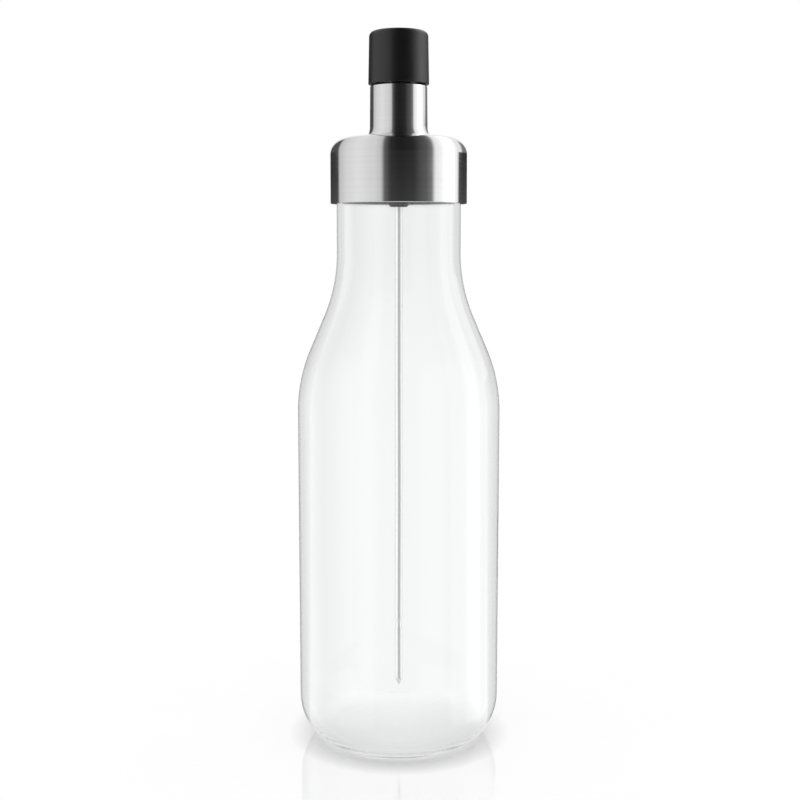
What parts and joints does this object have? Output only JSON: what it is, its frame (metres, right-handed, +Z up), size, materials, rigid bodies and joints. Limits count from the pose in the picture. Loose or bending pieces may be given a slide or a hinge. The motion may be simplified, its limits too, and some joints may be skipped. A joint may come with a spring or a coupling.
{
  "type": "oil dispenser bottle",
  "caption": "Clear glass bottle with a rounded heel and long shoulder, a steel pouring lid with a spout, a black cap and a steel skewer hanging inside for herbs.",
  "frame": {"origin": "middle of the base, on the surface that the bottle stands on", "axes": "+Z up along the bottle's axis, from the base to the cap; -Y towards the viewer of the picture"},
  "size_m": [0.072, 0.072, 0.251],
  "materials": {
    "clear_glass": "clear blown glass, fire-polished",
    "satin_steel": "satin stainless steel, turned",
    "bright_steel": "polished stainless steel",
    "black_plastic": "moulded, fine satin",
    "matt_black": "soft matt",
    "grey_silicone": "matt silicone"
  },
  "bodies": {
    "bottle": {"glass_bottle": "clear_glass"},
    "lid": {"lid_shell": "satin_steel", "stopper_body": "black_plastic", "upper_seal_ring": "grey_silicone", "lower_seal_ring": "grey_silicone", "rim_gasket": "grey_silicone", "pour_nozzle": "bright_steel", "skewer_holder": "black_plastic"},
    "cap": {"cap_shell": "matt_black", "cap_seal": "grey_silicone"},
    "skewer": {"skewer_rod": "bright_steel"}
  },
  "joints": [
    {"name": "lid_lift", "type": "slide", "parent": "bottle", "child": "lid", "axis": [0, 0, 1], "range_m": [0, 0.2]},
    {"name": "cap_lift", "type": "slide", "parent": "lid", "child": "cap", "axis": [0, 0, 1], "range_m": [0, 0.03]},
    {"name": "skewer_draw", "type": "slide", "parent": "lid", "child": "skewer", "axis": [0, 0, 1], "range_m": [-0.008, 0]}
  ]
}
